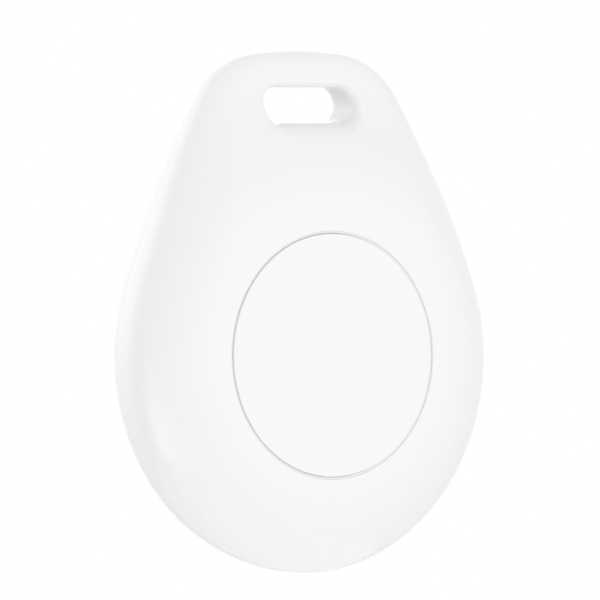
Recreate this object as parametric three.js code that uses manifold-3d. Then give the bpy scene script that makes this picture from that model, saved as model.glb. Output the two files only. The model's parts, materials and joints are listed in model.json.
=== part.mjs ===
// A Bluetooth tracker tag: a pebble-shaped white housing with a keyring slot, a round push button
// on its belly and a coin-turn battery door behind. Millimetres.
//
// The pieces are drawn in the tag's face frame: x to the right, y up from the button's axis, and
// z forward from the flat back, so a z is a depth above the back. The exported group stands the
// tag up: +Z up, the button towards -Y, and the origin at the middle of the slot's upper wall,
// where a keyring bears.

import * as THREE from 'three';
import { mergeVertices } from 'three/addons/utils/BufferGeometryUtils.js';
import Module from 'manifold-3d';

const wasm = await Module();
wasm.setup();

const { cos, sin, sqrt, atan2, hypot, PI } = Math;
const degrees = (angle) => THREE.MathUtils.degToRad(angle);
const polar = (radius, angle) => new THREE.Vector2(radius * cos(angle), radius * sin(angle));

// ---- driving dimensions ----

// The outline is a teardrop of tangent arcs, the same on both sides: a round belly, long flanks,
// round shoulders and a nearly flat crown. Each arc ends where its edge faces the stated angle.
const bellyRadius = 21.63;
const shoulderRadius = 8.86;
const crownRadius = 46.8;
const bellyEnds = degrees(18.4);
const flankEnds = degrees(30.8);
const shoulderEnds = degrees(83.6);

// Thickness: the face is a dome about the button that falls away to a thin tab at the slot.
const bellyThickness = 8.1;
const tabThickness = 4.1;
const domeRadius = 23.2;
const domePower = 7.25;
const domeNarrowing = 0.9;

// The widest line of the side runs low behind the crown and higher behind the belly's foot. The
// edge in front of it is a quarter of a superellipse, small at the crown and broad at the foot, and
// the edge behind it is flatter than a quarter circle.
const crownRidge = 1.28;
const footRidge = 2.9;
const backRounding = 0.95;
const backExponent = 1.4;
const crownRounding = 1.25;
const footRounding = 11.2;
const faceExponent = 1.8;
const sideExponent = 3.8;

// Keyring slot.
const slotHalfLength = 5.45;
const slotHeight = 3.45;
const slotTop = 26.6;
const slotRim = 0.6;

// Housing.
const frontWall = 1.2;
const sideWall = 1.5;
const innerTightening = 0.6;
const cavityTop = 20.2;
const cavityRoofStart = 2.6;
const mouthInset = 2.7;
const mouthTop = 19.2;
const mouthCorner = 2.2;
const ledgeDepth = 1.9;
const coverInset = 2.0;
const coverTop = 19.9;
const coverCorner = 3;
const coverThickness = 1.0;
const fitGap = 0.1;
const clearCut = 1;

// Button.
const buttonRadius = 12.08;
const buttonGap = 0.22;
const flangeRadius = 12.9;
const flangeThickness = 0.5;

// Circuit board and what stands on it.
const boardBack = 4.5;
const boardThickness = 0.6;
const boardInset = 3.6;
const boardTop = 15.5;
const boardCorner = 4;
const solderGap = 0.05;
const screwCircle = 16.1;
const screwAngles = [38, 142, 270];
const bossRadius = 1.5;
const pilotRadius = 0.6;
const pilotDepth = 1.45;

// Coin cell.
const cellRadius = 10;
const cellBack = 1.05;
const cellHeight = 3.2;
const cellWall = 0.25;
const contactSheet = 0.1;
const holderAngle = degrees(200);

// Battery door: three lugs climb helical channels in the cover's ring.
const doorRadius = 11.85;
const doorFace = 0.5;
const doorBossRadius = 10.7;
const doorDepth = 1.9;
const lugReach = 1.05;
const lugThickness = 0.5;
const lugHalfWidth = degrees(8);
const lugCount = 3;
const risePerRadian = 1.4;
const ringRadius = 13.2;
const ringDepth = 2.1;
const sealInner = 11.0;
const sealOuter = 11.65;

const buttonSegments = 80;
const roundSegments = 48;
const smallSegments = 20;

// ---- materials ----

const finish = (color, roughness, metalness = 0) =>
  new THREE.MeshStandardMaterial({ color, roughness, metalness });

const whiteShell = finish(0xf4f4f3, 0.28);
const greySilicone = finish(0x9a9c9e, 0.7);
const boardGreen = finish(0x14532f, 0.45);
const blackPlastic = finish(0x1b1c1e, 0.5);
const steel = finish(0xb9bcc0, 0.3, 1);
const gold = finish(0xd2ab54, 0.3, 1);
const ceramicBrown = finish(0x8d6f4d, 0.6);
const ferriteGrey = finish(0x3e4043, 0.6);
const cathodeBlack = finish(0x2a2a2c, 0.9);

// ---- solids ----

function toSolid(geometry) {
  const bare = geometry.clone();
  bare.deleteAttribute('normal');
  bare.deleteAttribute('uv');
  const merged = mergeVertices(bare, 1e-5);
  return new wasm.Manifold(new wasm.Mesh({
    numProp: 3,
    vertProperties: new Float32Array(merged.attributes.position.array),
    triVerts: new Uint32Array(merged.index.array),
  }));
}

function toGeometry(solid) {
  const mesh = solid.getMesh();
  const geometry = new THREE.BufferGeometry();
  geometry.setAttribute('position', new THREE.BufferAttribute(mesh.vertProperties, 3));
  geometry.setIndex(new THREE.BufferAttribute(mesh.triVerts, 1));
  geometry.computeVertexNormals();
  return geometry;
}

const join = (...geometries) =>
  toGeometry(geometries.map(toSolid).reduce((whole, next) => whole.add(next)));

const cut = (geometry, ...tools) =>
  toGeometry(tools.map(toSolid).reduce((whole, tool) => whole.subtract(tool), toSolid(geometry)));

// A solid through rings of points, back to front, each ring anticlockwise seen from the front.
function loft(rings) {
  const count = rings[0].length;
  const positions = rings.flat().flatMap((point) => point.toArray());
  const index = [];
  for (let ring = 0; ring < rings.length - 1; ring++) {
    for (let i = 0; i < count; i++) {
      const a = ring * count + i;
      const b = ring * count + (i + 1) % count;
      index.push(a, b, b + count, a, b + count, a + count);
    }
  }
  for (const [ring, front] of [[0, false], [rings.length - 1, true]]) {
    const middle = positions.length / 3;
    const centre = new THREE.Vector3();
    rings[ring].forEach((point) => centre.addScaledVector(point, 1 / count));
    positions.push(...centre.toArray());
    for (let i = 0; i < count; i++) {
      const a = ring * count + i;
      const b = ring * count + (i + 1) % count;
      index.push(middle, ...(front ? [a, b] : [b, a]));
    }
  }
  const geometry = new THREE.BufferGeometry();
  geometry.setAttribute('position', new THREE.Float32BufferAttribute(positions, 3));
  geometry.setIndex(index);
  return geometry;
}

// A flat shape, with any holes, from one depth to another.
function prism(points, from, to, holes = []) {
  const shape = new THREE.Shape(points);
  shape.holes = holes.map((hole) => new THREE.Path(hole));
  const geometry = new THREE.ExtrudeGeometry(shape, { depth: to - from, bevelEnabled: false });
  return geometry.translate(0, 0, from);
}

// A turned piece about the z axis, from [radius, depth] pairs.
const turned = (profile, segments = roundSegments) =>
  new THREE.LatheGeometry(profile.map(([radius, depth]) => new THREE.Vector2(radius, depth)), segments)
    .rotateX(PI / 2);

const disc = (radius, from, to, segments) =>
  turned([[0, from], [radius, from], [radius, to], [0, to]], segments);

const washer = (inner, outer, from, to, segments) =>
  turned([[inner, from], [outer, from], [outer, to], [inner, to], [inner, from]], segments);

const block = (width, height, from, to, x = 0, y = 0, turn = 0) =>
  new THREE.BoxGeometry(width, height, to - from)
    .rotateZ(turn)
    .translate(x, y, (from + to) / 2);

// A block that follows a circle about the z axis.
function arcBlock(inner, outer, middle, halfAngle, from, to) {
  const steps = 6;
  const points = [];
  for (let i = 0; i <= steps; i++) points.push(polar(outer, middle + halfAngle * (2 * i / steps - 1)));
  for (let i = steps; i >= 0; i--) points.push(polar(inner, middle + halfAngle * (2 * i / steps - 1)));
  return prism(points, from, to);
}

// ---- outlines ----

// The points of a chain of arcs, each with the direction that its edge faces.
function edgeOf(arcs) {
  const edge = [];
  for (const { centre, radius, from, to, steps } of arcs) {
    for (let i = 0; i <= steps; i++) {
      const facing = polar(1, from + (to - from) * i / steps);
      const point = facing.clone().multiplyScalar(radius).add(centre);
      const last = edge.at(-1);
      if (!last || last.point.distanceTo(point) > 1e-6) edge.push({ point, facing });
    }
  }
  if (edge.at(-1).point.distanceTo(edge[0].point) < 1e-6) edge.pop();
  return edge;
}

const insetBy = (edge, inset) =>
  edge.map(({ point, facing }) => point.clone().addScaledVector(facing, -inset));

const mirrored = ({ centre, radius, from, to, steps }) => ({
  centre: new THREE.Vector2(-centre.x, centre.y),
  radius,
  from: PI - to,
  to: PI - from,
  steps,
});

// The flank's radius is the one that brings the crown to the centre line.
const flankRadius = (bellyRadius * cos(bellyEnds) - shoulderRadius * cos(flankEnds)
  - (crownRadius - shoulderRadius) * cos(shoulderEnds)) / (cos(bellyEnds) - cos(flankEnds));
const flankCentre = polar(bellyRadius - flankRadius, bellyEnds);
const shoulderCentre = polar(flankRadius - shoulderRadius, flankEnds).add(flankCentre);
const crownCentre = polar(shoulderRadius - crownRadius, shoulderEnds).add(shoulderCentre);
const crownTop = crownCentre.y + crownRadius;

const bellyArc = {
  centre: new THREE.Vector2(), radius: bellyRadius, from: -PI - bellyEnds, to: bellyEnds, steps: 40,
};

function teardropEdge() {
  const flank = {
    centre: flankCentre, radius: flankRadius, from: bellyEnds, to: flankEnds, steps: 5,
  };
  const shoulder = {
    centre: shoulderCentre, radius: shoulderRadius, from: flankEnds, to: shoulderEnds, steps: 7,
  };
  const crown = {
    centre: crownCentre, radius: crownRadius, from: shoulderEnds, to: PI - shoulderEnds, steps: 4,
  };
  return edgeOf([bellyArc, flank, shoulder, crown, mirrored(shoulder), mirrored(flank)]);
}

// The belly alone: the teardrop set in by a distance and cut off straight at a height, with round
// corners.
function bellyOutline(inset, top, cornerRadius) {
  const radius = flankRadius - inset;
  const cornerY = top - cornerRadius;
  const reach = radius - cornerRadius;
  const cornerX = flankCentre.x + sqrt(reach ** 2 - (cornerY - flankCentre.y) ** 2);
  const meets = atan2(cornerY - flankCentre.y, cornerX - flankCentre.x);
  const flank = { centre: flankCentre, radius, from: bellyEnds, to: meets, steps: 4 };
  const corner = {
    centre: new THREE.Vector2(cornerX, cornerY), radius: cornerRadius, from: meets, to: PI / 2, steps: 5,
  };
  const belly = { ...bellyArc, radius: bellyRadius - inset };
  return edgeOf([belly, flank, corner, mirrored(corner), mirrored(flank)]).map(({ point }) => point);
}

// How far down the outline a height is: 0 at the crown, 1 at the foot.
const downTo = (y) => (crownTop - y) / (crownTop + bellyRadius);
const ridgeAt = (y) => crownRidge + (footRidge - crownRidge) * downTo(y);
const roundingAt = (y) => crownRounding + (footRounding - crownRounding) * sin(downTo(y) * PI / 2);

// The share of the dome's fall that is behind a point: 0 at the button and towards 1 far from it.
function fallAt(x, y) {
  const fall = (hypot(domeNarrowing * x, y) / domeRadius) ** domePower;
  return fall / (1 + fall);
}

const domeFall = (bellyThickness - tabThickness) / fallAt(0, slotTop);
const thicknessAt = (x, y) => bellyThickness - domeFall * fallAt(x, y);

// The rings of the front, from the widest line over the rounded edge and in across the face.
// wall is how far the surface lies inside the tag's own, and start the least depth it begins at.
function frontRings(edge, wall, start) {
  const rings = [];
  const height = ({ x, y }) => thicknessAt(x, y) - (wall ? frontWall : 0);
  for (const lift of [0, 0.5, 3, 8, 16, 28, 42, 58, 74, 90].map(degrees)) {
    const inward = 1 - cos(lift) ** (2 / faceExponent);
    const rise = sin(lift) ** (2 / sideExponent);
    rings.push(edge.map(({ point, facing }) => {
      const rounding = Math.max(roundingAt(point.y) - innerTightening * wall, 0.2);
      const at = point.clone().addScaledVector(facing, -wall - rounding * inward);
      const base = Math.max(start, ridgeAt(at.y));
      return new THREE.Vector3(at.x, at.y, base + (height(at) - base) * rise);
    }));
  }
  const faceEdge = rings.at(-1);
  for (const shrink of [0.08, 0.15, 0.22, 0.29, 0.36, 0.43, 0.5, 0.58]) {
    rings.push(faceEdge.map((rim) => {
      const at = rim.clone().multiplyScalar(1 - shrink);
      return at.setZ(height(at));
    }));
  }
  return rings;
}

// The depth of the face at a point over the round belly.
function faceDepthAt(x, y) {
  const inward = Math.min((bellyRadius - hypot(x, y)) / roundingAt(y), 1);
  const rise = (1 - (1 - inward) ** faceExponent) ** (1 / sideExponent);
  return ridgeAt(y) + (thicknessAt(x, y) - ridgeAt(y)) * rise;
}

const flatRing = (points, depth) => points.map(({ x, y }) => new THREE.Vector3(x, y, depth));

function outerBody() {
  const edge = teardropEdge();
  const back = [90, 60, 35, 15].map(degrees).map((drop) => edge.map(({ point, facing }) => {
    const at = point.clone().addScaledVector(facing, -backRounding * (1 - cos(drop)));
    return new THREE.Vector3(at.x, at.y, ridgeAt(at.y) * (1 - sin(drop) ** (2 / backExponent)));
  }));
  return loft([...back, ...frontRings(edge, 0, 0)]);
}

function slotTool() {
  const endRadius = slotHeight / 2;
  const end = {
    centre: new THREE.Vector2(slotHalfLength - endRadius, slotTop - endRadius),
    radius: endRadius,
    from: -PI / 2,
    to: PI / 2,
    steps: 12,
  };
  const edge = edgeOf([end, mirrored(end)]);
  const backRing = (depth, flare) => flatRing(insetBy(edge, -flare), depth);
  const frontRing = (depth, flare) => insetBy(edge, -flare).map(({ x, y }) =>
    new THREE.Vector3(x, y, thicknessAt(x, y) - depth));
  const rim = [90, 60, 30, 0].map(degrees).map((turn) => ({
    flare: slotRim * (1 - cos(turn)), depth: slotRim * (1 - sin(turn)),
  }));
  return loft([
    backRing(-clearCut, slotRim),
    ...rim.map(({ flare, depth }) => backRing(depth, flare)),
    ...rim.toReversed().map(({ flare, depth }) => frontRing(depth, flare)),
    frontRing(-clearCut, slotRim),
  ]);
}

// The room inside the belly, open behind through a mouth with a ledge that the rear cover rests on.
function cavityTool() {
  const edge = teardropEdge();
  const inside = loft([
    flatRing(insetBy(edge, sideWall), ledgeDepth),
    ...frontRings(edge, sideWall, cavityRoofStart),
  ]);
  const beyond = 20;
  const tab = block(3 * beyond, 2 * beyond, -beyond, beyond, 0, cavityTop + beyond);
  const overlap = 0.2;
  const mouth = prism(bellyOutline(mouthInset, mouthTop, mouthCorner), -clearCut, ledgeDepth + overlap);
  const recess = prism(
    bellyOutline(coverInset, coverTop, coverCorner), -clearCut, coverThickness + fitGap / 2,
  );
  return join(cut(inside, tab), mouth, recess);
}

// ---- pieces ----

const screwPlaces = screwAngles.map((angle) => polar(screwCircle, degrees(angle)));
const boardFront = boardBack + boardThickness;
const partsFront = boardFront + solderGap;
const partsBack = boardBack - solderGap;
const capBack = bellyThickness - frontWall - fitGap / 2 - flangeThickness;
const switchSize = [4.2, 3.4];
const switchFrameBack = partsFront + 0.45;

function frontShell() {
  const hollow = cut(outerBody(), cavityTool());
  const bosses = screwPlaces.map(({ x, y }) =>
    disc(bossRadius, partsFront, faceDepthAt(x, y) - frontWall / 2, smallSegments).translate(x, y, 0));
  const pilots = screwPlaces.map(({ x, y }) =>
    disc(pilotRadius, boardBack, partsFront + pilotDepth, smallSegments).translate(x, y, 0));
  const aperture = disc(
    buttonRadius + buttonGap, boardFront - clearCut, bellyThickness + clearCut, buttonSegments,
  );
  const flangeRoom = disc(flangeRadius + 0.7, boardFront, bellyThickness - frontWall, buttonSegments);
  return cut(join(hollow, ...bosses), aperture, flangeRoom, slotTool(), ...pilots);
}

function buttonCap() {
  const nubRadius = 0.8;
  const nubHeight = 0.1;
  const edgeRound = 0.15;
  return turned([
    [0, capBack - nubHeight],
    [nubRadius, capBack - nubHeight],
    [nubRadius, capBack],
    [flangeRadius, capBack],
    [flangeRadius, capBack + flangeThickness],
    [buttonRadius, capBack + flangeThickness],
    [buttonRadius, bellyThickness - edgeRound],
    [buttonRadius - edgeRound, bellyThickness],
    [0, bellyThickness],
  ], buttonSegments);
}

function buttonSeal() {
  const inner = flangeRadius + 0.12;
  const width = 0.48;
  const height = 0.4;
  return washer(inner, inner + width, capBack - 0.1, capBack - 0.1 + height, buttonSegments);
}

function rearCover() {
  const outline = bellyOutline(coverInset + fitGap, coverTop - fitGap, coverCorner - fitGap);
  const plate = prism(outline, 0, coverThickness);
  const overlap = 0.2;
  const ribGap = 0.75;
  const ribWidth = 0.7;
  const ribInset = mouthInset + ribGap + ribWidth;
  const rib = prism(
    bellyOutline(mouthInset + ribGap, mouthTop - ribGap, mouthCorner - ribGap),
    coverThickness - overlap, coverThickness + ribWidth,
    [bellyOutline(ribInset, mouthTop + mouthInset - ribInset, mouthCorner - ribGap - ribWidth / 2)],
  );
  const ring = disc(ringRadius, coverThickness - overlap, ringDepth);
  const well = disc(doorRadius + 0.15, -clearCut, coverThickness);
  const bore = disc(doorBossRadius + 0.2, coverThickness - overlap, ringDepth + clearCut);
  return cut(join(plate, rib, ring), well, bore, ...lugChannels());
}

// Each channel is the room that a lug sweeps, with a little clearance, as it climbs its helix from
// the locked place until it is clear of the ring.
function lugChannels() {
  const clearance = 0.1;
  const inner = doorBossRadius - 0.2;
  const outer = doorBossRadius + lugReach + 0.15;
  const halfWidth = lugHalfWidth + degrees(1);
  const climb = degrees(56);
  const steps = 16;
  const channels = [];
  for (let lug = 0; lug < lugCount; lug++) {
    const sections = [];
    for (let i = 0; i <= steps; i++) {
      const angle = -halfWidth - climb + (2 * halfWidth + climb) * i / steps;
      const deep = doorDepth + clearance - risePerRadian * Math.max(-angle - halfWidth, 0);
      const shallow = doorDepth - lugThickness - clearance
        - risePerRadian * Math.min(halfWidth - angle, climb);
      sections.push([[inner, deep], [outer, deep], [outer, shallow], [inner, shallow]].map(
        ([radius, depth]) => {
          const { x, y } = polar(radius, angle + 2 * PI * lug / lugCount);
          return new THREE.Vector3(x, y, depth);
        },
      ));
    }
    channels.push(loft(sections));
  }
  return channels;
}

function batteryDoor() {
  const ringWall = 0.4;
  const sealSeat = 0.9;
  const body = turned([
    [0, 0],
    [doorRadius - 0.15, 0],
    [doorRadius, 0.15],
    [doorRadius, doorFace],
    [doorBossRadius, doorFace],
    [doorBossRadius, doorDepth],
    [doorBossRadius - ringWall, doorDepth],
    [doorBossRadius - ringWall, sealSeat],
    [0, sealSeat],
  ]);
  const lugs = [];
  for (let lug = 0; lug < lugCount; lug++) {
    lugs.push(arcBlock(
      doorBossRadius - ringWall / 2, doorBossRadius + lugReach, 2 * PI * lug / lugCount, lugHalfWidth,
      doorDepth - lugThickness, doorDepth,
    ));
  }
  return cut(join(body, ...lugs), coinSlot());
}

function coinSlot() {
  const width = 1.9;
  const length = 13;
  const depth = 0.45;
  const end = {
    centre: new THREE.Vector2((length - width) / 2, 0),
    radius: width / 2,
    from: -PI / 2,
    to: PI / 2,
    steps: 8,
  };
  return prism(edgeOf([end, mirrored(end)]).map(({ point }) => point), -clearCut, depth);
}

const doorSeal = () => washer(sealInner, sealOuter, doorFace + 0.06, coverThickness - 0.06);

function coverGasket() {
  const gap = 0.08;
  const width = 0.54;
  const height = 0.5;
  const back = coverThickness + 0.06;
  return prism(bellyOutline(mouthInset + gap, mouthTop - gap, mouthCorner - gap), back, back + height, [
    bellyOutline(mouthInset + gap + width, mouthTop - gap - width, mouthCorner - gap - width),
  ]);
}

function circuitBoard() {
  const outline = bellyOutline(boardInset, boardTop, boardCorner);
  const holeRadius = 0.75;
  const holes = screwPlaces.map(({ x, y }) =>
    disc(holeRadius, boardBack - clearCut, boardFront + clearCut, smallSegments).translate(x, y, 0));
  return cut(prism(outline, boardBack, boardFront), ...holes);
}

function boardScrew() {
  const headBack = boardBack - 0.55;
  const headRadius = 1.15;
  const shankRadius = 0.5;
  const tip = boardFront + 1.4;
  const taper = 0.2;
  const screw = turned([
    [0, headBack],
    [headRadius - taper, headBack],
    [headRadius, headBack + taper],
    [headRadius, partsBack],
    [shankRadius, partsBack],
    [shankRadius, tip - taper],
    [shankRadius - taper, tip],
    [0, tip],
  ], smallSegments);
  const recess = (turn) => block(1.1, 0.25, headBack - clearCut, headBack + 0.25, 0, 0, turn);
  return cut(screw, recess(0), recess(PI / 2));
}

function switchBase() {
  const pocket = disc(1.25, partsFront + 0.1, partsFront + clearCut, smallSegments);
  return cut(block(...switchSize, partsFront, switchFrameBack - solderGap), pocket);
}

function switchFrame() {
  const hole = disc(1.05, partsFront, partsFront + clearCut, smallSegments);
  return cut(block(...switchSize, switchFrameBack, switchFrameBack + contactSheet), hole);
}

const switchPlunger = () => disc(0.95, switchFrameBack - 0.07, capBack - 0.15, smallSegments);

function batteryHolder() {
  const back = ringDepth + 0.1;
  const inner = cellRadius + 0.3;
  const wall = 0.9;
  const lintel = 0.5;
  const contactWindow = block(3, 3.4, back - clearCut, partsBack - lintel, inner + wall / 2);
  return cut(washer(inner, inner + wall, back, partsBack), contactWindow);
}

function negativeContact() {
  const armLength = 7;
  const armWidth = 1.6;
  const hubRadius = 2.4;
  const back = partsBack - contactSheet;
  const arms = [90, 210, 330].map(degrees).map((turn) => {
    const { x, y } = polar(armLength / 2, turn);
    return block(armLength, armWidth, back, partsBack, x, y, turn);
  });
  return join(disc(hubRadius, back, partsBack, smallSegments), ...arms);
}

// A leaf of sheet metal: soldered foot, upright, and a bow that bears on the can's side.
function positiveContact() {
  const sheet = 0.15;
  const width = 2.4;
  const route = [
    [13, partsBack], [11.6, partsBack], [11.1, 2.9], [10.6, 2.5], [10.12, 3.1], [10.3, 3.6],
  ];
  return ribbon(route.map(([x, y]) => new THREE.Vector2(x, y)), sheet, width);
}

// A strip of sheet whose section follows points of [radius, depth], centred on the x axis.
function ribbon(points, sheet, width) {
  const offset = points.map((point, i) => {
    const before = points[Math.max(i - 1, 0)];
    const after = points[Math.min(i + 1, points.length - 1)];
    const along = after.clone().sub(before).normalize();
    return point.clone().add(new THREE.Vector2(along.y, -along.x).multiplyScalar(-sheet));
  });
  const section = new THREE.Shape([...points, ...offset.toReversed()]);
  return new THREE.ExtrudeGeometry(section, { depth: width, bevelEnabled: false })
    .translate(0, 0, -width / 2)
    .rotateX(PI / 2);
}

function cellCan() {
  const top = cellBack + cellHeight;
  return turned([
    [0, cellBack],
    [cellRadius - 0.3, cellBack],
    [cellRadius, cellBack + 0.3],
    [cellRadius, top - 0.5],
    [cellRadius - 0.35, top - 0.2],
    [cellRadius - 0.55, top - 0.4],
    [cellRadius - cellWall, top - 0.7],
    [cellRadius - cellWall, cellBack + cellWall + 0.2],
    [cellRadius - cellWall - 0.2, cellBack + cellWall],
    [0, cellBack + cellWall],
  ]);
}

const cellGasket = () =>
  washer(cellRadius - 0.95, cellRadius - 0.62, cellBack + 0.4, cellBack + cellHeight - 0.3);

function cellCap() {
  const top = cellBack + cellHeight;
  const radius = cellRadius - 1.02;
  return turned([
    [0, top - cellWall],
    [radius - 0.9, top - cellWall],
    [radius - cellWall, top - 0.6],
    [radius - cellWall, cellBack + 2.2],
    [radius, cellBack + 2.2],
    [radius, top - 0.5],
    [radius - 0.8, top],
    [0, top],
  ]);
}

const cellCathode = () => disc(cellRadius - 1.7, cellBack + cellWall + 0.05, cellBack + 2.1);

// ---- assembly ----

const tag = new THREE.Group();
tag.rotation.x = PI / 2;
tag.position.set(0, tabThickness / 2, -slotTop);

function add(name, geometry, material, x = 0, y = 0, turn = 0) {
  const mesh = new THREE.Mesh(geometry, material);
  mesh.name = name;
  mesh.position.set(x, y, 0);
  mesh.rotation.z = turn;
  tag.add(mesh);
}

add('front_shell', frontShell(), whiteShell);
add('rear_cover', rearCover(), whiteShell);
add('cover_gasket', coverGasket(), greySilicone);
add('button_cap', buttonCap(), whiteShell);
add('button_seal', buttonSeal(), greySilicone);
add('battery_door', batteryDoor(), whiteShell);
add('door_seal', doorSeal(), greySilicone);

add('circuit_board', circuitBoard(), boardGreen);
screwPlaces.forEach(({ x, y }, i) => add(`board_screw_${i + 1}`, boardScrew(), steel, x, y));

add('switch_base', switchBase(), blackPlastic);
add('switch_frame', switchFrame(), steel);
add('switch_plunger', switchPlunger(), blackPlastic);

add('battery_holder', batteryHolder(), blackPlastic, 0, 0, holderAngle);
add('positive_contact', positiveContact(), gold, 0, 0, holderAngle);
add('negative_contact', negativeContact(), gold);
add('cell_can', cellCan(), steel);
add('cell_gasket', cellGasket(), blackPlastic);
add('cell_cap', cellCap(), steel);
add('cell_cathode', cellCathode(), cathodeBlack);

// Parts on the back of the board, in the ring between the cell's holder and the housing.
const boardParts = [
  // name, material, length, width, height, distance from the button's axis, angle, turn
  ['radio_chip', blackPlastic, 4, 4, 0.85, 15.4, 180, 0],
  ['radio_crystal', steel, 2, 1.6, 0.5, 15.8, 160, 0],
  ['clock_crystal', steel, 3.2, 1.5, 0.8, 15.6, 205, 115],
  ['chip_antenna', ceramicBrown, 7, 2, 1.2, 13.8, 90, 0],
  ['buzzer', blackPlastic, 4.8, 4.8, 2, 15, 0, 0],
  ['power_inductor', ferriteGrey, 2.5, 2, 1.2, 16, 318, 48],
  ['bulk_capacitor_1', ceramicBrown, 3.2, 1.6, 1.2, 16, 296, 26],
  ['bulk_capacitor_2', ceramicBrown, 3.2, 1.6, 1.2, 16, 244, 154],
  ['chip_capacitor_1', ceramicBrown, 1, 0.5, 0.5, 12.6, 168, 0],
  ['chip_capacitor_2', ceramicBrown, 1, 0.5, 0.5, 12.7, 190, 0],
  ['chip_capacitor_3', ceramicBrown, 1, 0.5, 0.5, 14.4, 115, 0],
  ['chip_capacitor_4', ceramicBrown, 1, 0.5, 0.5, 16.5, 222, 0],
  ['chip_resistor_1', blackPlastic, 1, 0.5, 0.4, 14.4, 65, 0],
  ['chip_resistor_2', blackPlastic, 1, 0.5, 0.4, 16.5, 335, 0],
];
for (const [name, material, length, width, height, distance, angle, turn] of boardParts) {
  const place = polar(distance, degrees(angle));
  add(name, block(length, width, partsBack - height, partsBack), material, place.x, place.y, degrees(turn));
}

export default tag;
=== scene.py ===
"""A Bluetooth tracker tag in glossy white plastic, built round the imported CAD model.

The shells are drawn in the tag's face frame, in millimetres: x to the right, y up from the button's
axis, and a depth forward from the flat back. FaceFrame places them in the row frame, in metres.
"""

import json
import math

import bmesh
import bpy
import numpy as np
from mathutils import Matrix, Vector
from mathutils.geometry import delaunay_2d_cdt


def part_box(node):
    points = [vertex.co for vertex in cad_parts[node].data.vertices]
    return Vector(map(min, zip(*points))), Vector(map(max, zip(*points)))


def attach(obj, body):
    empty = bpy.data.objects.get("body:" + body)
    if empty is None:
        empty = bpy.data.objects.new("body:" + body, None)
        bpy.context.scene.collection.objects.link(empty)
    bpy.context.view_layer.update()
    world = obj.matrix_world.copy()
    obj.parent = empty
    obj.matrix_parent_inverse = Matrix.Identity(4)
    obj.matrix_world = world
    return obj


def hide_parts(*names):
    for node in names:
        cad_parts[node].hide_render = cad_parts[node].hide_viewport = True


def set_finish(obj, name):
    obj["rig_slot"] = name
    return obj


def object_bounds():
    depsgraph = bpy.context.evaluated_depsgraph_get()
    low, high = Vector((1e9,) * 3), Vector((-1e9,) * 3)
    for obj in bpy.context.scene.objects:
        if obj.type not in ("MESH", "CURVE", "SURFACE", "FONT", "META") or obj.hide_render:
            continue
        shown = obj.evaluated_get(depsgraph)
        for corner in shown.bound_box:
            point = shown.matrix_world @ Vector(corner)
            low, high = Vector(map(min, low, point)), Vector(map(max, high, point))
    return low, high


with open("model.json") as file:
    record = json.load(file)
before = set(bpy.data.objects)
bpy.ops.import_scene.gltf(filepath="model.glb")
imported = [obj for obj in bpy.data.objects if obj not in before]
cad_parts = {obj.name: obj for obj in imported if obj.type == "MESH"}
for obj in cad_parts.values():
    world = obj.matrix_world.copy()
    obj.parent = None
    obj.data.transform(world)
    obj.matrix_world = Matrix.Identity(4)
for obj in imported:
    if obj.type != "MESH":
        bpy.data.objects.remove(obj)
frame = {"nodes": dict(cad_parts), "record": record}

cad_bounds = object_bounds()
MM = 0.001

# ---- places from the frame ----

cap_low, cap_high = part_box("button_cap")
axis_z = (cap_low.z + cap_high.z) / 2
back_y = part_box("front_shell")[1].y
belly_thickness = (back_y - cap_low.y) / MM
tab_thickness = 2 * back_y / MM
cap_back = (back_y - cap_high.y) / MM + 0.1

# ---- the outline: tangent arcs, the same on both sides ----

BELLY_RADIUS = 21.63
SHOULDER_RADIUS = 8.86
CROWN_RADIUS = 46.8
BELLY_ENDS = math.radians(18.4)
FLANK_ENDS = math.radians(30.8)
SHOULDER_ENDS = math.radians(83.6)

# The face is a dome about the button that falls away to the tab at the slot.
DOME_RADIUS = 23.2
DOME_POWER = 7.25
DOME_NARROWING = 0.9

# The widest line of the side, and the rounded edges in front of it and behind it.
CROWN_RIDGE = 1.28
FOOT_RIDGE = 2.9
BACK_ROUNDING = 0.95
BACK_EXPONENT = 1.4
CROWN_ROUNDING = 1.25
FOOT_ROUNDING = 11.2
FACE_EXPONENT = 1.8
SIDE_EXPONENT = 3.8
EDGE_REACH = 5.0

# Slot.
SLOT_HALF_LENGTH = 5.45
SLOT_HEIGHT = 3.45
SLOT_TOP = 26.6
SLOT_RIM = 0.58
SLOT_FOOT_RIM = 1.15
SLOT_RIM_FALL = 1.35
SLOT_RIM_CREASE = 0.3
SLOT_BACK_RIM = 0.85

# Button and its opening.
CAP_RADIUS = 12.08
OPENING_RADIUS = 12.3
OPENING_EDGE = 0.14
GROOVE_DEPTH = 0.2
GROOVE_FLOOR_RADIUS = 12.12
FLANGE_RADIUS = 12.9
FLANGE_THICKNESS = 0.5
FRONT_WALL = 1.2

# Rear cover and battery door.
COVER_THICKNESS = 1.0
COVER_INSET = 2.0
COVER_SEAT_GAP = 0.05
LEDGE_INSET = 2.7
LEDGE_DEPTH = 1.9
CAVITY_TOP = 20.2
DOOR_RADIUS = 11.85
DOOR_FACE = 0.5
DOOR_BOSS_RADIUS = 10.7
DOOR_DEPTH = 1.9
DOOR_CUP_WALL = 0.4
DOOR_CUP_FLOOR = 0.9
LUG_REACH = 1.05
LUG_THICKNESS = 0.5
LUG_HALF_WIDTH = math.radians(8)
RISE_PER_RADIAN = 1.4
RING_RADIUS = 13.2
RING_DEPTH = 2.1


def polar(radius, angle):
    return np.array([radius * math.cos(angle), radius * math.sin(angle)])


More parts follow.
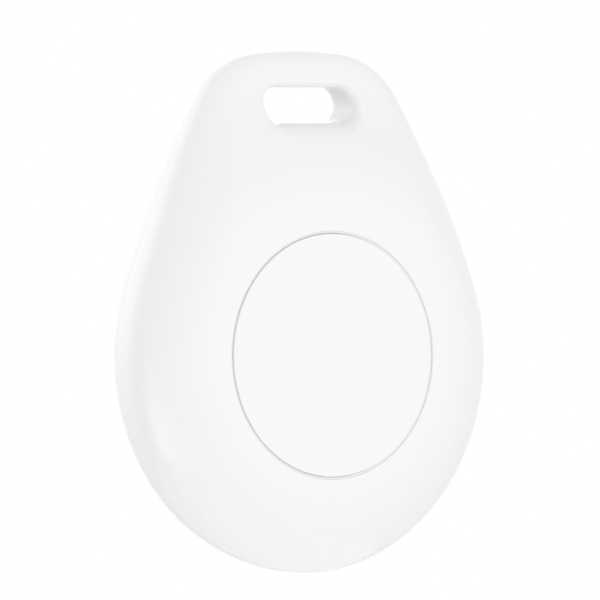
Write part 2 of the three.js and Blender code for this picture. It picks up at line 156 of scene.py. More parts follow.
FLANK_RADIUS = (
    BELLY_RADIUS * math.cos(BELLY_ENDS)
    - SHOULDER_RADIUS * math.cos(FLANK_ENDS)
    - (CROWN_RADIUS - SHOULDER_RADIUS) * math.cos(SHOULDER_ENDS)
) / (math.cos(BELLY_ENDS) - math.cos(FLANK_ENDS))
FLANK_CENTRE = polar(BELLY_RADIUS - FLANK_RADIUS, BELLY_ENDS)
SHOULDER_CENTRE = FLANK_CENTRE + polar(FLANK_RADIUS - SHOULDER_RADIUS, FLANK_ENDS)
CROWN_CENTRE = SHOULDER_CENTRE + polar(SHOULDER_RADIUS - CROWN_RADIUS, SHOULDER_ENDS)
CROWN_TOP = CROWN_CENTRE[1] + CROWN_RADIUS

# (centre, radius, from angle, to angle) up the right side.
RIGHT_ARCS = [
    (np.zeros(2), BELLY_RADIUS, -math.pi / 2, BELLY_ENDS),
    (FLANK_CENTRE, FLANK_RADIUS, BELLY_ENDS, FLANK_ENDS),
    (SHOULDER_CENTRE, SHOULDER_RADIUS, FLANK_ENDS, SHOULDER_ENDS),
    (CROWN_CENTRE, CROWN_RADIUS, SHOULDER_ENDS, math.pi / 2),
]


def mirrored(arc):
    centre, radius, start, end = arc
    return (centre * [-1, 1], radius, math.pi - end, math.pi - start)


def edge_of(arcs, steps):
    """Points along closed tangent arcs, anticlockwise, with the direction that the edge faces there."""
    points, facings = [], []
    for (centre, radius, start, end), count in zip(arcs, steps):
        angles = np.linspace(start, end, count, endpoint=False)
        facing = np.c_[np.cos(angles), np.sin(angles)]
        facings.append(facing)
        points.append(centre + radius * facing)
    return np.vstack(points), np.vstack(facings)


def teardrop_edge(belly=64, flank=28, shoulder=18, crown=9):
    """The tag's outline, with its number of steps along each arc of one side."""
    arcs = RIGHT_ARCS + [mirrored(arc) for arc in reversed(RIGHT_ARCS)]
    return edge_of(arcs, [belly, flank, shoulder, crown, crown, shoulder, flank, belly])


def inset_at(x, y):
    """How far points lie inside the outline, in millimetres."""
    inset = np.full(x.shape, np.inf)
    across = np.abs(x)
    for centre, radius, start, end in RIGHT_ARCS:
        dx, dy = across - centre[0], y - centre[1]
        angle = np.arctan2(dy, dx)
        facing_it = (angle >= start - 1e-9) & (angle <= end + 1e-9)
        inset = np.where(facing_it, np.minimum(inset, radius - np.hypot(dx, dy)), inset)
    return np.maximum(inset, 0)


def down_to(y):
    """How far down the outline a height is: 0 at the crown, 1 at the foot."""
    return np.clip((CROWN_TOP - y) / (CROWN_TOP + BELLY_RADIUS), 0, 1)


def ridge_at(y):
    return CROWN_RIDGE + (FOOT_RIDGE - CROWN_RIDGE) * down_to(y)


def rounding_at(y):
    return CROWN_ROUNDING + (FOOT_ROUNDING - CROWN_ROUNDING) * np.sin(down_to(y) * math.pi / 2)


def fall_at(x, y):
    """The share of the dome's fall behind a point: 0 at the button and towards 1 far from it."""
    fall = (np.hypot(DOME_NARROWING * x, y) / DOME_RADIUS) ** DOME_POWER
    return fall / (1 + fall)


def thickness_at(x, y):
    whole = (belly_thickness - tab_thickness) / fall_at(0, SLOT_TOP)
    return belly_thickness - whole * fall_at(x, y)


def edge_rise(share):
    """How high the rounded edge stands, from 0 at its ridge to 1 on the face, at a share of its width."""
    return (1 - (1 - share) ** FACE_EXPONENT) ** (1 / SIDE_EXPONENT)


def slot_distance(x, y):
    """Distance outside the slot's wall, and how far down that wall faces, from -1 to 1."""
    radius = SLOT_HEIGHT / 2
    straight = SLOT_HALF_LENGTH - radius
    dx = np.sign(x) * np.maximum(np.abs(x) - straight, 0)
    dy = y - (SLOT_TOP - radius)
    away = np.hypot(dx, dy)
    return away - radius, -dy / np.maximum(away, 1e-9)


def rim_radius(down):
    """The slot's front rim is rounder along its foot than at its ends and top."""
    return SLOT_RIM + (SLOT_FOOT_RIM - SLOT_RIM) * np.clip(down, 0, 1) ** 2


def rounded_drop(distance, radius):
    """How far a rounded edge has fallen at a distance from its wall."""
    into = np.clip(radius - distance, 0, radius)
    return radius - np.sqrt(np.maximum(radius**2 - into**2, 0))


def rim_drop(distance, radius):
    """How far the slot's rim has fallen: it breaks from the face with a crease and rounds into the wall."""
    straight = np.clip(radius - distance, 0, radius)
    mixed = SLOT_RIM_CREASE * straight + (1 - SLOT_RIM_CREASE) * rounded_drop(distance, radius)
    return SLOT_RIM_FALL * mixed


def front_depth(x, y):
    """The depth of the tag's front surface, from the outline to the rims of its two openings."""
    ridge = ridge_at(y)
    rise = edge_rise(np.clip(inset_at(x, y) / rounding_at(y), 0, 1))
    depth = ridge + (thickness_at(x, y) - ridge) * rise
    beyond, down = slot_distance(x, y)
    depth = depth - rim_drop(beyond, rim_radius(down))
    return depth - rounded_drop(np.hypot(x, y) - OPENING_RADIUS, OPENING_EDGE)


# ---- mesh building ----


class Builder:
    """Collects points in the face frame, in millimetres, and makes one mesh of them."""

    def __init__(self):
        self.points = []
        self.faces = []

    def ring(self, points, depth):
        """Adds a closed loop of points and returns their indices."""
        depth = np.broadcast_to(depth, len(points))
        start = len(self.points)
        self.points += [(p[0], p[1], d) for p, d in zip(points, depth)]
        return list(range(start, start + len(points)))

    def band(self, a, b):
        """Quads between two rings with as many points: a inside or behind b gives faces that point out."""
        count = len(a)
        for i in range(count):
            j = (i + 1) % count
            self.faces.append((a[i], a[j], b[j], b[i]))

    def bands(self, rings):
        for a, b in zip(rings, rings[1:]):
            self.band(a, b)

    def cap(self, ring, front):
        """A fan that closes a ring, facing front or back."""
        middle = len(self.points)
        self.points.append(tuple(np.mean([self.points[i] for i in ring], axis=0)))
        count = len(ring)
        for i in range(count):
            j = (i + 1) % count
            self.faces.append((ring[i], ring[j], middle) if front else (ring[j], ring[i], middle))

    def fill(self, outer, holes, depth_of, front, spacing=None, clear=0.35):
        """Triangles over the room between a ring and the rings of its holes.

        With a spacing, a grid of points at depth_of is put between them.
        """
        loops = [outer, *holes]
        own = [i for loop in loops for i in loop]
        flat = [Vector(self.points[i][:2]) for i in own]
        edges, base = [], 0
        for loop in loops:
            edges += [(base + k, base + (k + 1) % len(loop)) for k in range(len(loop))]
            base += len(loop)
        polygons = [np.array([self.points[i][:2] for i in loop]) for loop in loops]
        extra = []
        if spacing:
            extra = grid_between(polygons, spacing, clear)
            flat += [Vector(p) for p in extra]
        verts, _, faces, origin, _, _ = delaunay_2d_cdt(flat, edges, [], 0, 1e-7)
        index = {}
        for k, made_from in enumerate(origin):
            source = made_from[0]
            if source < len(own):
                index[k] = own[source]
            else:
                x, y = extra[source - len(own)]
                index[k] = len(self.points)
                self.points.append((x, y, float(depth_of(np.array([x]), np.array([y]))[0])))
        centres = np.array([np.mean([verts[k] for k in face], axis=0) for face in faces])
        inside = within(polygons[0], centres)
        for hole in polygons[1:]:
            inside &= ~within(hole, centres)
        for face, keep in zip(faces, inside):
            if keep:
                corners = [index[k] for k in face]
                self.faces.append(tuple(corners if front else reversed(corners)))

    def make(self, name):
        """The finished object, in the row frame."""
        mesh = bpy.data.meshes.new(name)
        world = [(x * MM, back_y - d * MM, axis_z + y * MM) for x, y, d in self.points]
        mesh.from_pydata(world, [], self.faces)
        obj = bpy.data.objects.new(name, mesh)
        bpy.context.scene.collection.objects.link(obj)
        clean(obj)
        return obj


def within(polygon, points):
    """Which points lie inside a closed polygon, by crossings."""
    inside = np.zeros(len(points), bool)
    x, y = points[:, 0], points[:, 1]
    a, b = polygon, np.roll(polygon, -1, axis=0)
    for (ax, ay), (bx, by) in zip(a, b):
        if ay != by:
            crosses = (ay > y) != (by > y)
            inside ^= crosses & (x < (bx - ax) * (y - ay) / (by - ay) + ax)
    return inside


def grid_between(polygons, spacing, clear):
    """A triangular grid of points inside the first polygon and outside the rest, clear of their edges."""
    low, high = polygons[0].min(0), polygons[0].max(0)
    rows = np.arange(low[1], high[1], spacing * math.sqrt(3) / 2)
    points = np.array([
        (x, y)
        for k, y in enumerate(rows)
        for x in np.arange(low[0] + spacing / 2 * (k % 2), high[0], spacing)
    ])
    keep = within(polygons[0], points)
    for hole in polygons[1:]:
        keep &= ~within(hole, points)
    points = points[keep]
    near = np.full(len(points), np.inf)
    for polygon in polygons:
        for x, y in polygon:
            near = np.minimum(near, np.hypot(points[:, 0] - x, points[:, 1] - y))
    return points[near > clear]


def clean(obj):
    """Merges doubles, drops faces of no area, points the faces out and shades them smooth."""
    bm = bmesh.new()
    bm.from_mesh(obj.data)
    bmesh.ops.remove_doubles(bm, verts=bm.verts, dist=1e-7)
    bmesh.ops.dissolve_degenerate(bm, edges=bm.edges, dist=1e-8)
    bmesh.ops.recalc_face_normals(bm, faces=bm.faces)
    for face in bm.faces:
        face.smooth = True
    for edge in bm.edges:
        if len(edge.link_faces) == 2 and edge.calc_face_angle() > math.radians(35):
            edge.smooth = False
    bm.to_mesh(obj.data)
    bm.free()


# ---- rings that the pieces share ----

ROUND_STEPS = 224
ROUND_ANGLES = np.arange(ROUND_STEPS) * 2 * math.pi / ROUND_STEPS


def circle(radius):
    return radius * np.c_[np.cos(ROUND_ANGLES), np.sin(ROUND_ANGLES)]


def belly_ring(inset, top, corner_radius):
    """The outline set in, cut off straight at a height with round corners, as a ring about the axis."""
    radius = FLANK_RADIUS - inset
    corner_y = top - corner_radius
    reach = radius - corner_radius
    corner_x = FLANK_CENTRE[0] + math.sqrt(reach**2 - (corner_y - FLANK_CENTRE[1]) ** 2)
    meets = math.atan2(corner_y - FLANK_CENTRE[1], corner_x - FLANK_CENTRE[0])
    right = [
        (np.zeros(2), BELLY_RADIUS - inset, -math.pi / 2, BELLY_ENDS),
        (FLANK_CENTRE, radius, BELLY_ENDS, meets),
        (np.array([corner_x, corner_y]), corner_radius, meets, math.pi / 2),
    ]
    left = [mirrored(arc) for arc in reversed(right)]
    points, _ = edge_of(right + left, [160, 60, 24, 24, 60, 160])
    angles = np.unwrap(np.arctan2(points[:, 1], points[:, 0]))
    radii = np.hypot(points[:, 0], points[:, 1])
    # the flat top is one straight step, so it is put in between its two ends
    flat = np.c_[np.linspace(corner_x, -corner_x, 40)[1:-1], np.full(38, top)]
    angles = np.r_[angles, np.arctan2(flat[:, 1], flat[:, 0])] % (2 * math.pi)
    radii = np.r_[radii, np.hypot(flat[:, 0], flat[:, 1])]
    order = np.argsort(angles)
    at = np.interp(ROUND_ANGLES, angles[order], radii[order], period=2 * math.pi)
    return at[:, None] * np.c_[np.cos(ROUND_ANGLES), np.sin(ROUND_ANGLES)]


def stadium(half_length, radius, centre_y, end_steps=30, side_steps=22):
    """A slot's outline and the directions it faces."""
    straight = half_length - radius
    points, facings = [], []
    for side in (1, -1):
        for angle in np.linspace(-math.pi / 2, math.pi / 2, end_steps):
            facing = side * np.array([math.cos(angle), math.sin(angle)])
            points.append(np.array([side * straight, centre_y]) + radius * facing)
            facings.append(facing)
        for share in np.linspace(0, 1, side_steps + 2)[1:-1]:
            x = side * straight * (1 - 2 * share)
            points.append(np.array([x, centre_y + side * radius]))
            facings.append(np.array([0, side]))
    return np.array(points), np.array(facings)


def turned(name, profile):
    """A closed turned piece from (radius, depth) pairs that end on the axis or close on themselves."""
    shape = Builder()
    rings = []
    on_axis = profile[0][0] == 0
    for radius, depth in (profile[1:-1] if on_axis else profile):
        rings.append(shape.ring(circle(radius), depth))
    if on_axis:
        shape.bands(rings)
        shape.cap(rings[0], front=False)
        shape.cap(rings[-1], front=True)
        shape.points[-2] = (0, 0, profile[0][1])
        shape.points[-1] = (0, 0, profile[-1][1])
    else:
        shape.bands(rings + rings[:1])
    return shape.make(name)


def corner(radius, depth, size, quarter, steps=4):
    """Points round one quarter of a circle centred at a radius and depth, counted in quarter turns."""
    return [
        (radius + size * math.cos(a), depth + size * math.sin(a))
        for a in np.linspace(quarter, quarter + 1, steps + 1) * math.pi / 2
    ]


def apply_boolean(obj, tools, operation):
    """Joins or cuts obj with each tool, and removes the tools."""
    for tool in tools:
        modifier = obj.modifiers.new("boolean", "BOOLEAN")
        modifier.operation = operation
        modifier.solver = "EXACT"
        modifier.object = tool
    evaluated = obj.evaluated_get(bpy.context.evaluated_depsgraph_get())
    mesh = bpy.data.meshes.new_from_object(evaluated)
    obj.modifiers.clear()
    obj.data = mesh
    for tool in tools:
        bpy.data.objects.remove(tool)
    clean(obj)
    return obj


# ---- pieces ----

COVER_TOP = CAVITY_TOP - 0.3
EDGE = 0.12
EDGE_TURNS = np.radians([0, 30, 60, 90])


def front_shell():
    shape = Builder()
    points, facings = teardrop_edge()

    back = []
    for drop in np.radians([90, 78, 66, 55, 45, 36, 28, 20, 13, 7, 3]):
        at = points - facings * BACK_ROUNDING * (1 - math.cos(drop))
        lift = 1 - math.sin(drop) ** (2 / BACK_EXPONENT)
        back.append(shape.ring(at, ridge_at(at[:, 1]) * lift))
    ridge = shape.ring(points, ridge_at(points[:, 1]))
    front = []
    rounding = rounding_at(points[:, 1:])
    reach = np.minimum(EDGE_REACH / rounding, 1)
    turns = np.arccos((1 - reach) ** (FACE_EXPONENT / 2))
    for share in (0.008, 0.02, 0.04, 0.065, 0.1, 0.14, 0.19, 0.25, 0.31, 0.38, 0.45, 0.52,
                  0.59, 0.66, 0.73, 0.8, 0.87, 0.94, 1):
        at = points - facings * rounding * (1 - np.cos(turns * share) ** (2 / FACE_EXPONENT))
        front.append(shape.ring(at, front_depth(at[:, 0], at[:, 1])))
    shape.bands([*back, ridge, *front])

    wall, wall_facings = stadium(SLOT_HALF_LENGTH, SLOT_HEIGHT / 2, SLOT_TOP - SLOT_HEIGHT / 2)
    rim = rim_radius(-wall_facings[:, 1:])
    slot_front = []
    for turn in np.radians([0, 12, 24, 36, 48, 60, 72, 82, 90]):
        at = wall + wall_facings * rim * (1 - math.cos(turn))
        slot_front.append(shape.ring(at, front_depth(at[:, 0], at[:, 1])))
    at = wall + wall_facings * (rim + 0.35)
    slot_front.append(shape.ring(at, front_depth(at[:, 0], at[:, 1])))
    slot_back = []
    for turn in np.radians([90, 72, 54, 36, 18, 0]):
        at = wall + wall_facings * SLOT_BACK_RIM * (1 - math.cos(turn))
        slot_back.append(shape.ring(at, SLOT_BACK_RIM * (1 - math.sin(turn))))
    slot_middle = [shape.ring(wall, depth) for depth in (1.4, 2.1, 2.8)]
    shape.bands([*slot_back, *slot_middle, *slot_front])

    opening = []
    for beyond in (0.9, 0.55, 0.3, 0.14, 0.1, 0.06, 0.03, 0.01, 0):
        at = circle(OPENING_RADIUS + beyond)
        opening.append(shape.ring(at, front_depth(at[:, 0], at[:, 1])))
    shape.fill(front[-1], [slot_front[-1], opening[0]], front_depth, front=True, spacing=0.55)

    mouth = belly_ring(LEDGE_INSET, CAVITY_TOP - 1, 2.2)
    groove_floor = belly_thickness - GROOVE_DEPTH
    inside = [
        shape.ring(circle(OPENING_RADIUS), groove_floor),
        shape.ring(circle(GROOVE_FLOOR_RADIUS), groove_floor),
        shape.ring(circle(GROOVE_FLOOR_RADIUS), belly_thickness - FRONT_WALL),
    ]
    for share in (0.2, 0.45, 0.7, 0.9):
        at = circle(OPENING_RADIUS) * (1 - share) + mouth * share
        inside.append(shape.ring(at, front_depth(at[:, 0], at[:, 1]) - FRONT_WALL))
    inside.append(shape.ring(mouth, front_depth(mouth[:, 0], mouth[:, 1]) - FRONT_WALL - 0.4))
    inside.append(shape.ring(mouth, LEDGE_DEPTH))
    inside.append(shape.ring(mouth, COVER_THICKNESS + COVER_SEAT_GAP))
    recess = belly_ring(COVER_INSET, COVER_TOP, 3)
    inside.append(shape.ring(recess, COVER_THICKNESS + COVER_SEAT_GAP))
    for turn in EDGE_TURNS:
        step = EDGE * (1 - math.cos(turn))
        at = belly_ring(COVER_INSET - step, COVER_TOP + step, 3)
        inside.append(shape.ring(at, EDGE * (1 - math.sin(turn))))
    shape.bands([*opening, *inside])
    shape.fill(back[0], [slot_back[0], inside[-1]], lambda x, y: 0 * x, front=False)
    return shape.make("front_housing")


def button_cap():
    rim = CAP_RADIUS - EDGE
    return turned("push_button", [
        (0, cap_back - 0.1), (0.8, cap_back - 0.1), (0.8, cap_back),
        *corner(FLANGE_RADIUS - EDGE, cap_back + EDGE, EDGE, 3),
        *corner(FLANGE_RADIUS - EDGE, cap_back + FLANGE_THICKNESS - EDGE, EDGE, 0),
        (CAP_RADIUS, cap_back + FLANGE_THICKNESS),
        *corner(rim, belly_thickness - EDGE, EDGE, 0),
        (rim * 0.97, belly_thickness), (rim * 0.5, belly_thickness), (0, belly_thickness),
    ])


def helix_channel(lug):
    """The room that a lug sweeps as it climbs out of the cover's ring."""
    clearance = 0.1
    half_width = LUG_HALF_WIDTH + math.radians(1)
    climb = math.radians(56)
    middle = 2 * math.pi * lug / 3
    shape = Builder()
    rings = []
    for angle in np.linspace(-half_width - climb, half_width, 28):
        deep = DOOR_DEPTH + clearance - RISE_PER_RADIAN * max(-angle - half_width, 0)
        shallow = DOOR_DEPTH - LUG_THICKNESS - clearance - RISE_PER_RADIAN * min(half_width - angle, climb)
        inner = polar(DOOR_BOSS_RADIUS - 0.2, middle + angle)
        outer = polar(DOOR_BOSS_RADIUS + LUG_REACH + 0.15, middle + angle)
        rings.append(shape.ring([inner, outer, outer, inner], [deep, deep, shallow, shallow]))
    shape.bands(rings)
    shape.cap(rings[0], front=False)
    shape.cap(rings[-1], front=True)
    return shape.make(f"channel_{lug}")


def lug_block(lug):
    shape = Builder()
    rings = []
    middle = 2 * math.pi * lug / 3
    for angle in np.linspace(-LUG_HALF_WIDTH, LUG_HALF_WIDTH, 9):
        inner = polar(DOOR_BOSS_RADIUS - 0.2, middle + angle)
        outer = polar(DOOR_BOSS_RADIUS + LUG_REACH, middle + angle)
        low, high = DOOR_DEPTH - LUG_THICKNESS, DOOR_DEPTH - 0.01
        rings.append(shape.ring([inner, outer, outer, inner], [high, high, low, low]))
    shape.bands(rings)
    shape.cap(rings[0], front=False)
    shape.cap(rings[-1], front=True)
    return shape.make(f"lug_{lug}")


def rear_cover():
    shape = Builder()
    gap = 0.1
    well = DOOR_RADIUS + 0.15
    bore = DOOR_BOSS_RADIUS + 0.2
    inner = [shape.ring(circle(well + EDGE * (1 - math.cos(t))), EDGE * (1 - math.sin(t)))
             for t in EDGE_TURNS[::-1]]
    for radius, depth in (
        (well, COVER_THICKNESS), (bore, COVER_THICKNESS), (bore, RING_DEPTH),
        (RING_RADIUS, RING_DEPTH), (RING_RADIUS, COVER_THICKNESS),
    ):
        inner.append(shape.ring(circle(radius), depth))
    rib_top = COVER_THICKNESS + 0.7
    rib_inner = belly_ring(LEDGE_INSET + 1.45, CAVITY_TOP - 2.45, 1)
    rib_outer = belly_ring(LEDGE_INSET + 0.75, CAVITY_TOP - 1.75, 1.5)
    outline = belly_ring(COVER_INSET + gap, COVER_TOP - gap, 3 - gap)
    for ring, depth in (
        (rib_inner, COVER_THICKNESS), (rib_inner, rib_top), (rib_outer, rib_top),
        (rib_outer, COVER_THICKNESS), (outline, COVER_THICKNESS),
    ):
        inner.append(shape.ring(ring, depth))
    for turn in EDGE_TURNS:
        step = EDGE * (1 - math.cos(turn))
        at = belly_ring(COVER_INSET + gap + step, COVER_TOP - gap - step, 3 - gap)
        inner.append(shape.ring(at, EDGE * (1 - math.sin(turn))))
    shape.bands(inner)
    shape.fill(inner[-1], [inner[0]], lambda x, y: 0 * x, front=False)
    return apply_boolean(shape.make("rear_plate"), [helix_channel(k) for k in range(3)], "DIFFERENCE")


def battery_door():
    shape = Builder()
    slot_depth, slot_width, slot_length = 0.45, 1.9, 13.0
    wall, facings = stadium(slot_length / 2, slot_width / 2, 0, 16, 20)
    slot = [shape.ring(wall - facings * 0.1, slot_depth), shape.ring(wall, slot_depth - 0.1)]
    slot += [shape.ring(wall + facings * EDGE * (1 - math.cos(t)), EDGE * (1 - math.sin(t)))
             for t in EDGE_TURNS]
    shape.bands(slot)
    shape.fill(slot[0], [], None, front=False)
    profile = [
        *[(DOOR_RADIUS - EDGE * (1 - math.sin(t)), EDGE * (1 - math.cos(t))) for t in EDGE_TURNS],
        (DOOR_RADIUS, DOOR_FACE), (DOOR_BOSS_RADIUS, DOOR_FACE), (DOOR_BOSS_RADIUS, DOOR_DEPTH),
        (DOOR_BOSS_RADIUS - DOOR_CUP_WALL, DOOR_DEPTH),
        (DOOR_BOSS_RADIUS - DOOR_CUP_WALL, DOOR_CUP_FLOOR),
    ]
    rings = [shape.ring(circle(radius), depth) for radius, depth in profile]
    shape.bands(rings)
    shape.fill(rings[0], [slot[-1]], None, front=False)
    shape.cap(rings[-1], front=True)
    return apply_boolean(shape.make("coin_door"), [lug_block(k) for k in range(3)], "UNION")


def door_seal():
    middle = DOOR_BOSS_RADIUS + 0.62
    depth = (DOOR_FACE + COVER_THICKNESS) / 2
    section = [(middle + 0.3 * math.cos(a), depth + 0.19 * math.sin(a))
               for a in np.linspace(0, 2 * math.pi, 16, endpoint=False)]
    return turned("door_ring_seal", section)


housing = front_shell()
button = button_cap()
cover = rear_cover()
door = battery_door()
seal = door_seal()
PIECES = (
    (housing, "front_shell", "housing", "white_shell"),
    (button, "button_cap", "button", "white_shell"),
    (cover, "rear_cover", "housing", "white_shell"),
    (door, "battery_door", "door", "white_shell"),
    (seal, "door_seal", "seal_ring", "grey_silicone"),
)
for piece, node, body, slot_name in PIECES:
    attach(piece, body)
    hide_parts(node)
    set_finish(piece, slot_name)


# ---- materials ----


def shader(name, metallic):
    """A Principled material's parts, before its colour, gloss and relief are joined on."""
    material = bpy.data.materials.new(name)
    material.use_nodes = True
    nodes, links = material.node_tree.nodes, material.node_tree.links
    bsdf = nodes["Principled BSDF"]
    bsdf.inputs["Metallic"].default_value = metallic
    place = nodes.new("ShaderNodeTexCoord")
    return material, nodes, links, bsdf, place


def noise(nodes, links, place, scale, detail=2.0):
    node = nodes.new("ShaderNodeTexNoise")
    node.inputs["Scale"].default_value = scale
    node.inputs["Detail"].default_value = detail
    node.inputs["Roughness"].default_value = 0.5
    links.new(place.outputs["Object"], node.inputs["Vector"])
    return node


def spread(nodes, links, source, low, high):
    """Maps a noise's 0.3 to 0.7 onto low to high."""
    node = nodes.new("ShaderNodeMapRange")
    node.inputs["From Min"].default_value = 0.3
    node.inputs["From Max"].default_value = 0.7
    node.inputs["To Min"].default_value = low
    node.inputs["To Max"].default_value = high
    links.new(source, node.inputs["Value"])
    return node.outputs["Result"]


def mix_colours(nodes, links, share, a, b):
    node = nodes.new("ShaderNodeMix")
    node.data_type = "RGBA"
    node.inputs[6].default_value = (*a, 1)
    node.inputs[7].default_value = (*b, 1)
    links.new(share, node.inputs["Factor"])
    return node.outputs[2]


def bump(nodes, links, height, distance, strength):
    node = nodes.new("ShaderNodeBump")
    node.inputs["Strength"].default_value = strength
    node.inputs["Distance"].default_value = distance
    links.new(height, node.inputs["Height"])
    return node.outputs["Normal"]


def varied(name, colours, roughness, scale, relief, metallic=0.0):
    """A material between two colours and two roughnesses, with a fine relief in metres."""
    material, nodes, links, bsdf, place = shader(name, metallic)
    broad = noise(nodes, links, place, scale)
    fine = noise(nodes, links, place, scale * 9, 3.0)
    links.new(mix_colours(nodes, links, broad.outputs["Fac"], *colours), bsdf.inputs["Base Color"])
    links.new(spread(nodes, links, broad.outputs["Fac"], *roughness), bsdf.inputs["Roughness"])
    links.new(bump(nodes, links, fine.outputs["Fac"], relief, 0.5), bsdf.inputs["Normal"])
    return material


# Each slot's name, two colours, two roughnesses, noise scale, relief in metres, and metallic value.
MATERIALS = {
    "white_shell": varied(
        "glossy_white_abs", ((0.80, 0.80, 0.797), (0.806, 0.806, 0.803)), (0.09, 0.13), 260, 2e-6),
    "grey_silicone": varied(
        "grey_silicone", ((0.3, 0.305, 0.31), (0.36, 0.365, 0.37)), (0.6, 0.75), 900, 8e-6),
    "board_green": varied(
        "solder_mask", ((0.008, 0.08, 0.028), (0.012, 0.11, 0.04)), (0.3, 0.45), 700, 5e-6),
    "black_plastic": varied(
        "black_plastic", ((0.011, 0.011, 0.013), (0.02, 0.02, 0.022)), (0.4, 0.6), 1200, 6e-6),
    "steel": varied(
        "nickel_plate", ((0.5, 0.51, 0.53), (0.6, 0.61, 0.62)), (0.2, 0.38), 800, 3e-6, 1.0),
    "gold_plate": varied(
        "gold_plate", ((0.7, 0.46, 0.15), (0.8, 0.55, 0.2)), (0.2, 0.35), 900, 3e-6, 1.0),
    "cathode": varied(
        "pressed_powder", ((0.015, 0.015, 0.017), (0.03, 0.03, 0.03)), (0.8, 0.95), 1500, 1e-5),
    "ceramic": varied(
        "fired_ceramic", ((0.24, 0.15, 0.08), (0.34, 0.22, 0.12)), (0.5, 0.7), 1500, 6e-6),
    "ferrite": varied(
        "ferrite", ((0.04, 0.042, 0.046), (0.065, 0.066, 0.07)), (0.45, 0.65), 1400, 6e-6),
}
SOFT_EDGE = 0.04 * MM

slot_of = {row["node"]: row["material_slot"] for row in frame["record"]["subparts"]}
for piece, *_ in PIECES:
    piece.data.materials.clear()
    piece.data.materials.append(MATERIALS[piece["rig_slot"]])
REPLACED = {node for _, node, *_ in PIECES}
for name, node in frame["nodes"].items():
    if name in REPLACED:
        continue
    for material_slot in node.material_slots:
        material_slot.material = MATERIALS[slot_of[name]]
    edges = node.modifiers.new("soft_edges", "BEVEL")
    edges.width = SOFT_EDGE
    edges.segments = 2
    edges.limit_method = "ANGLE"
    edges.angle_limit = math.radians(40)


# ---- camera, light and floor ----

AZIMUTH = math.radians(-35.9)
DISTANCE = 2.5
LENS = 1509.0
AIM_RIGHT = 0.287 * MM
AIM_Z = -21.12 * MM

towards = Vector((math.sin(AZIMUTH), -math.cos(AZIMUTH), 0))
rightwards = Vector((math.cos(AZIMUTH), math.sin(AZIMUTH), 0))
aim = rightwards * AIM_RIGHT + Vector((0, 0, AIM_Z))

camera_data = bpy.data.cameras.new("camera")
camera_data.lens = LENS
camera_data.sensor_width = 36
camera_data.clip_start = 0.01
camera_data.clip_end = 20
camera = bpy.data.objects.new("camera", camera_data)
camera.location = aim + towards * DISTANCE
camera.rotation_euler = (-towards).to_track_quat("-Z", "Y").to_euler()
bpy.context.scene.collection.objects.link(camera)
bpy.context.scene.camera = camera


def direction(azimuth, elevation):
    """A unit vector at an angle round the tag: azimuth 0 is in front of the button and 90 at its right."""
    a, e = math.radians(azimuth), math.radians(elevation)
    return (math.sin(a) * math.cos(e), -math.cos(a) * math.cos(e), math.sin(e))


def calculated(nodes, links, operation, first, second=None):
    """A math node on a socket, and on a number or a second socket."""
    node = nodes.new("ShaderNodeMath")
    node.operation = operation
    links.new(first, node.inputs[0])
    if isinstance(second, float):
        node.inputs[1].default_value = second
    elif second is not None:
        links.new(second, node.inputs[1])
    return node.outputs[0]


def glow(nodes, links, towards_sky, azimuth, elevation, tightness, strength):
    """One soft light on the studio's walls, brightest in a direction and fading smoothly round it."""
    dot = nodes.new("ShaderNodeVectorMath")
    dot.operation = "DOT_PRODUCT"
    dot.inputs[1].default_value = direction(azimuth, elevation)
    links.new(towards_sky, dot.inputs[0])
    away = calculated(nodes, links, "SUBTRACT", dot.outputs["Value"], 1.0)
    fade = calculated(nodes, links, "EXPONENT", calculated(nodes, links, "MULTIPLY", away, tightness))
    return calculated(nodes, links, "MULTIPLY", fade, strength)


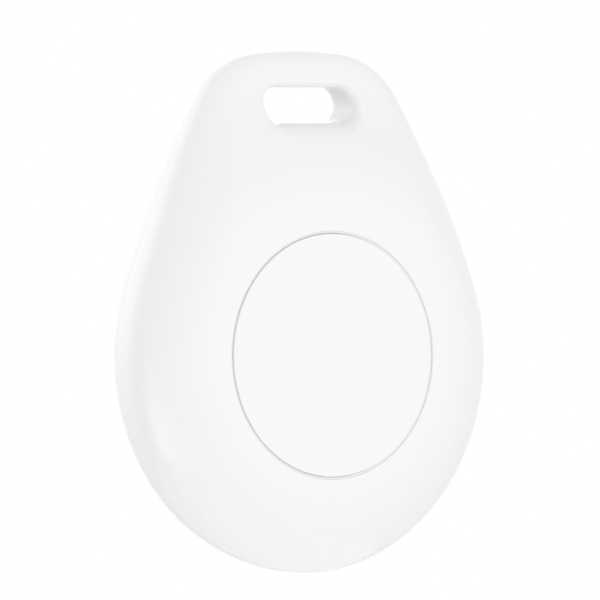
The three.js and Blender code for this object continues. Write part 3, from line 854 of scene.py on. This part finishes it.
def studio(evenly, glows):
    """A white studio: seen pure white, and lighting the tag evenly and from the soft glows."""
    world = bpy.data.worlds.new("studio")
    bpy.context.scene.world = world
    world.use_nodes = True
    nodes, links = world.node_tree.nodes, world.node_tree.links
    nodes.clear()
    place = nodes.new("ShaderNodeTexCoord")
    unit = nodes.new("ShaderNodeVectorMath")
    unit.operation = "NORMALIZE"
    links.new(place.outputs["Generated"], unit.inputs[0])
    total = None
    for azimuth, elevation, tightness, strength in glows:
        one = glow(nodes, links, unit.outputs["Vector"], azimuth, elevation, tightness, strength)
        total = one if total is None else calculated(nodes, links, "ADD", total, one)
    total = calculated(nodes, links, "ADD", total, evenly)
    lit = nodes.new("ShaderNodeBackground")
    lit.inputs["Color"].default_value = (1, 1, 1, 1)
    links.new(total, lit.inputs["Strength"])
    seen = nodes.new("ShaderNodeBackground")
    seen.inputs["Color"].default_value = (1, 1, 1, 1)
    seen.inputs["Strength"].default_value = 1.0
    path = nodes.new("ShaderNodeLightPath")
    mix = nodes.new("ShaderNodeMixShader")
    out = nodes.new("ShaderNodeOutputWorld")
    links.new(path.outputs["Is Camera Ray"], mix.inputs["Fac"])
    links.new(lit.outputs["Background"], mix.inputs[1])
    links.new(seen.outputs["Background"], mix.inputs[2])
    links.new(mix.outputs["Shader"], out.inputs["Surface"])


# (azimuth, elevation, tightness, strength) of each soft light. The flat face mirrors the key light to
# the camera, and the slot's inner wall and the left side mirror the one behind the tag's left.
KEY_LIGHT = (36.0, 0.0, 6.0, 1.0)
TOP_LIGHT = (-30.0, 60.0, 3.0, 0.5)
LOW_LEFT_LIGHT = (-45.0, -35.0, 14.0, 1.8)
BACK_LEFT_LIGHT = (-145.0, 20.0, 8.0, 1.5)
BACK_RIGHT_LIGHT = (140.0, 20.0, 6.0, 1.0)
EVEN_LIGHT = 0.63
studio(EVEN_LIGHT, [KEY_LIGHT, TOP_LIGHT, LOW_LEFT_LIGHT, BACK_LEFT_LIGHT, BACK_RIGHT_LIGHT])

# The tag floats, as the floor is far enough below it, in metres, to take no contact shadow.
FLOOR_DROP = 0.08
FLOOR_RADIUS = 0.12
floor_mesh = bpy.data.meshes.new("floor")
floor_shape = bmesh.new()
bmesh.ops.create_circle(floor_shape, cap_ends=True, segments=96, radius=FLOOR_RADIUS)
floor_shape.to_mesh(floor_mesh)
floor_shape.free()
floor = bpy.data.objects.new("floor", floor_mesh)
floor.location.z = cad_bounds[0].z - FLOOR_DROP
bpy.context.scene.collection.objects.link(floor)
pale = bpy.data.materials.new("pale_floor")
pale.use_nodes = True
pale.node_tree.nodes["Principled BSDF"].inputs["Base Color"].default_value = (0.95, 0.95, 0.95, 1)
pale.node_tree.nodes["Principled BSDF"].inputs["Roughness"].default_value = 0.9
floor_mesh.materials.append(pale)

bpy.context.scene.view_settings.view_transform = "Standard"
bpy.context.scene.view_settings.look = "None"
